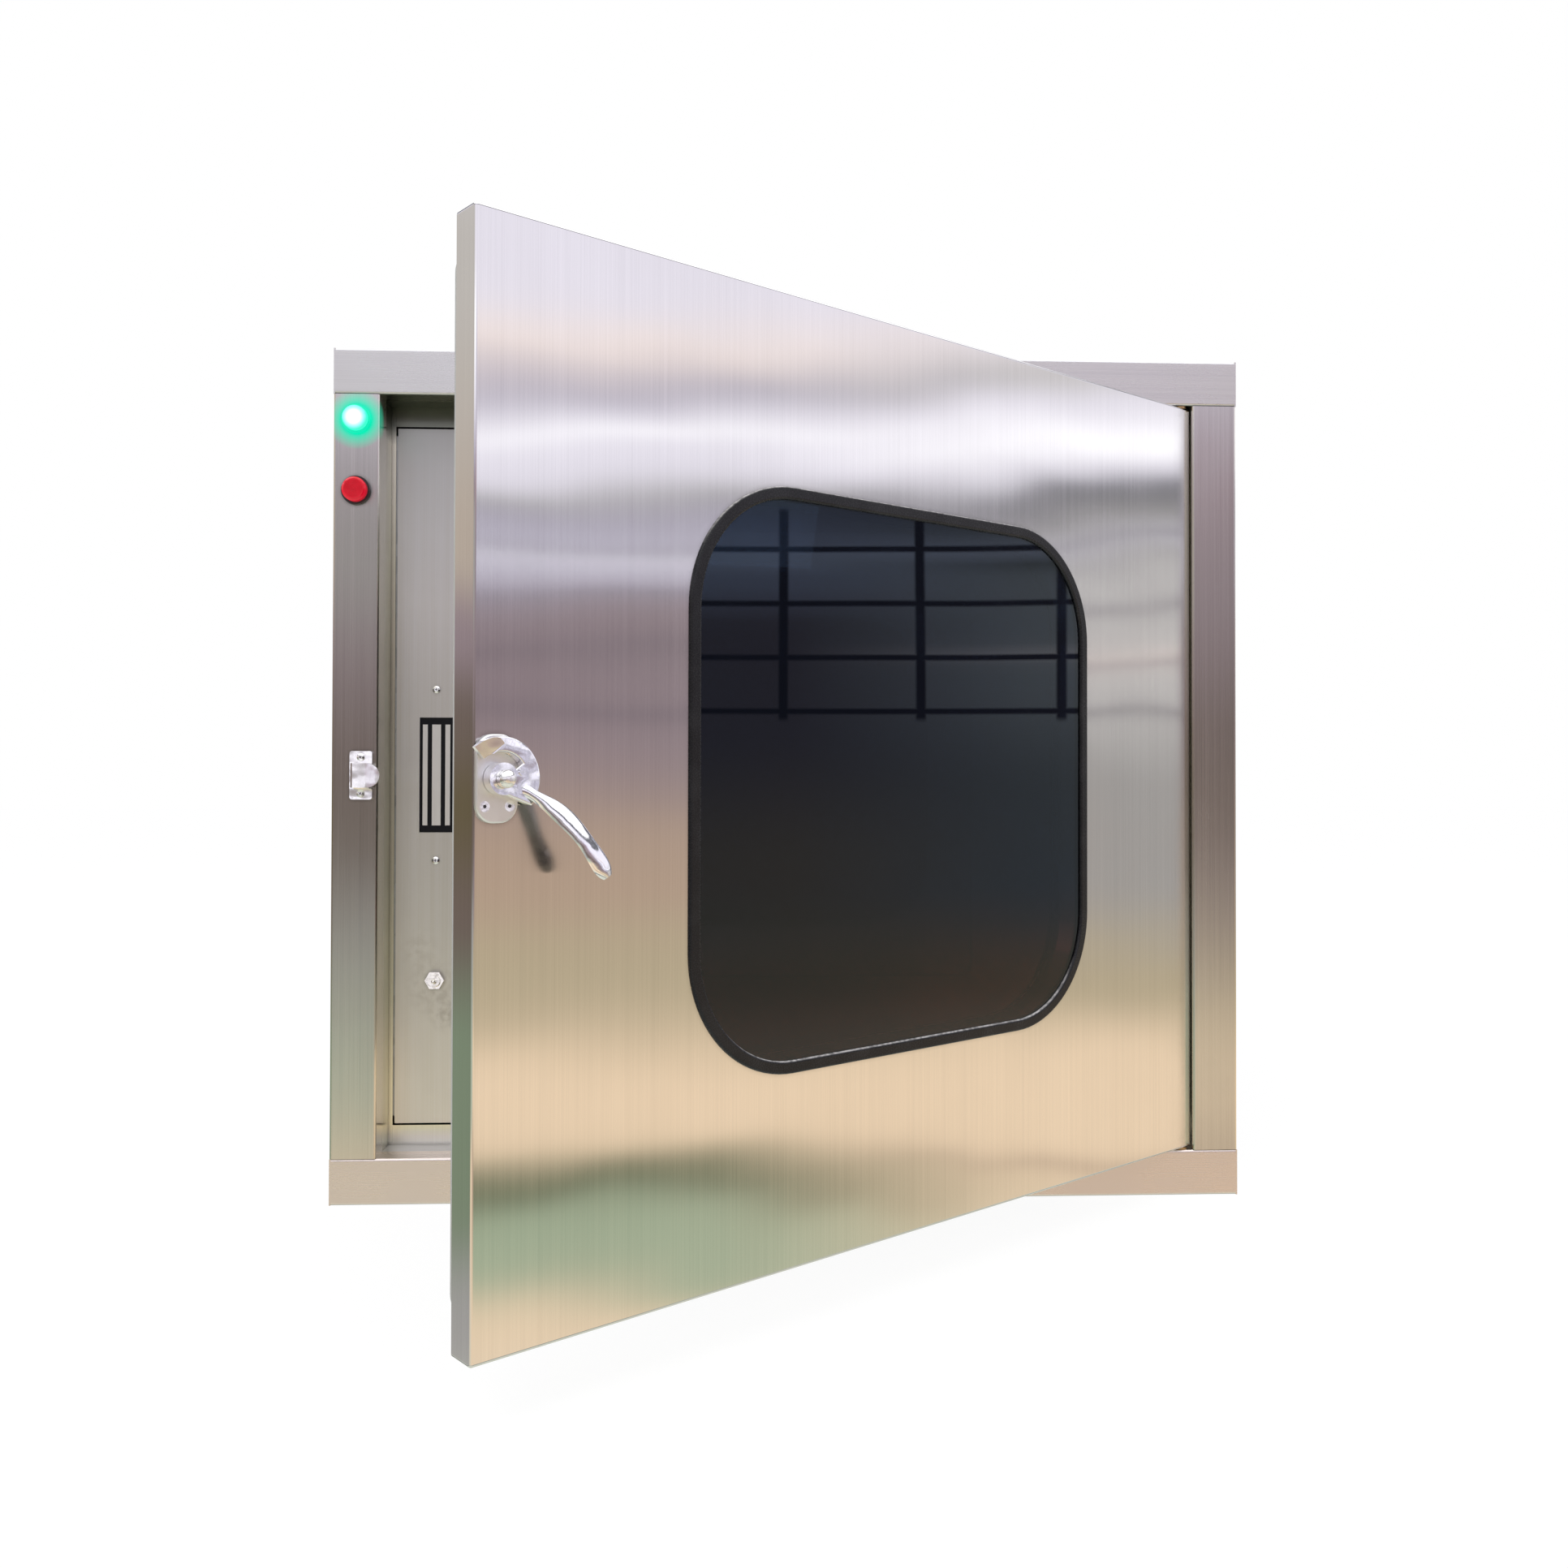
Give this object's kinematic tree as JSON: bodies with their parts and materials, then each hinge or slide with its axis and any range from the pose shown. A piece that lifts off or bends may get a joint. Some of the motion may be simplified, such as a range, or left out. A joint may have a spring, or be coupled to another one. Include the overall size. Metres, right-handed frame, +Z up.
{
  "type": "pass box",
  "caption": "Wall-mounted cleanroom transfer chamber with a hinged glazed door at each end, cam handles, magnet locks and pilot lamps.",
  "frame": {"origin": "centre of the flat base", "axes": "+Z up, +Y through the chamber from the front door (-Y) to the rear door, +X to the right seen from the front"},
  "size_m": [0.912, 1.2456, 0.872],
  "materials": {
    "frame_steel": "vertical brushed stainless",
    "casing_steel": "brushed stainless",
    "door_steel": "vertical brushed stainless",
    "liner_steel": "fine brushed stainless",
    "galvanised_steel": "galvanised",
    "polished_chrome": "polished chrome plate",
    "satin_cast": "satin chrome plate",
    "fastener_steel": "bright stainless",
    "polished_steel": "ground",
    "core_steel": "ground and plated",
    "magnet_resin": "cast resin",
    "nickel_brass": "nickel plated",
    "bearing_bronze": "plain",
    "gasket_rubber": "satin black",
    "seal_rubber": "soft grey",
    "door_glass": "clear float glass",
    "green_lens": "translucent, lit",
    "red_lens": "translucent, unlit",
    "lamp_body_plastic": "moulded",
    "fitting_paint": "white paint",
    "tube_glass": "quartz glass",
    "supply_alloy": "perforated case, plain",
    "board_laminate": "solder mask",
    "gland_nylon": "moulded nylon"
  },
  "bodies": {
    "cabinet": {"cable_gland": "gland_nylon", "casing_base_panel": "casing_steel", "casing_left_panel": "casing_steel", "casing_right_panel": "casing_steel", "casing_top_panel": "casing_steel", "chamber_liner": "liner_steel", "front_frame_bottom_rail": "frame_steel", "front_frame_hinge_stile": "frame_steel", "front_frame_lock_stile": "frame_steel", "front_frame_top_rail": "frame_steel", "front_lock_channel": "galvanised_steel", "front_lock_cover": "liner_steel", "front_maglock_core": "core_steel", "front_maglock_housing": "magnet_resin", "front_rebate_liner": "liner_steel", "front_strike": "polished_chrome", "front_switch_body": "nickel_brass", "green_lamp_lenses": "green_lens", "interlock_board": "board_laminate", "panel_screws": "fastener_steel", "pilot_lamp_bodies": "lamp_body_plastic", "pivot_bushes": "bearing_bronze", "power_supply": "supply_alloy", "rear_frame_bottom_rail": "frame_steel", "rear_frame_hinge_stile": "frame_steel", "rear_frame_lock_stile": "frame_steel", "rear_frame_top_rail": "frame_steel", "rear_lock_channel": "galvanised_steel", "rear_lock_cover": "liner_steel", "rear_maglock_core": "core_steel", "rear_maglock_housing": "magnet_resin", "rear_rebate_liner": "liner_steel", "rear_strike": "polished_chrome", "rear_switch_body": "nickel_brass", "red_lamp_lenses": "red_lens", "service_hatch": "casing_steel", "uv_lamp_fitting": "fitting_paint", "uv_lamp_tube": "tube_glass"},
    "front_door": {"front_door_outer_pan": "door_steel", "front_door_inner_pan": "door_steel", "front_window_gaskets": "gasket_rubber", "front_window_panes": "door_glass", "front_door_seal": "seal_rubber", "front_armature_plate": "core_steel", "front_hinge_pins": "polished_steel", "front_handle_base": "satin_cast", "front_handle_fasteners": "fastener_steel"},
    "front_lever": {"front_handle_lever": "polished_chrome"},
    "front_plunger": {"front_switch_plunger": "nickel_brass"},
    "rear_door": {"rear_door_outer_pan": "door_steel", "rear_door_inner_pan": "door_steel", "rear_window_gaskets": "gasket_rubber", "rear_window_panes": "door_glass", "rear_door_seal": "seal_rubber", "rear_armature_plate": "core_steel", "rear_hinge_pins": "polished_steel", "rear_handle_base": "satin_cast", "rear_handle_fasteners": "fastener_steel"},
    "rear_lever": {"rear_handle_lever": "polished_chrome"},
    "rear_plunger": {"rear_switch_plunger": "nickel_brass"}
  },
  "joints": [
    {"name": "front_door_hinge", "type": "hinge", "parent": "cabinet", "child": "front_door", "pos_m": [0.4, -0.3445, 0.425], "axis": [0, 0, 1], "range_deg": [-38, 62]},
    {"name": "rear_door_hinge", "type": "hinge", "parent": "cabinet", "child": "rear_door", "pos_m": [-0.4, 0.3445, 0.425], "axis": [0, 0, 1], "range_deg": [0, 100]},
    {"name": "front_lever_pivot", "type": "hinge", "parent": "front_door", "child": "front_lever", "pos_m": [-0.2187, -0.8374, 0.427], "axis": [0.6157, -0.788, 0], "range_deg": [0, 90]},
    {"name": "rear_lever_pivot", "type": "hinge", "parent": "rear_door", "child": "rear_lever", "pos_m": [0.391, 0.352, 0.427], "axis": [0, 1, 0], "range_deg": [0, 90]},
    {"name": "front_plunger_slide", "type": "slide", "parent": "cabinet", "child": "front_plunger", "axis": [0, -1, 0], "range_m": [-0.004, 0], "stiffness_N_per_m": 300, "springref_m": 0.002},
    {"name": "rear_plunger_slide", "type": "slide", "parent": "cabinet", "child": "rear_plunger", "axis": [0, 1, 0], "range_m": [-0.004, 0], "stiffness_N_per_m": 300, "springref_m": 0.002}
  ]
}
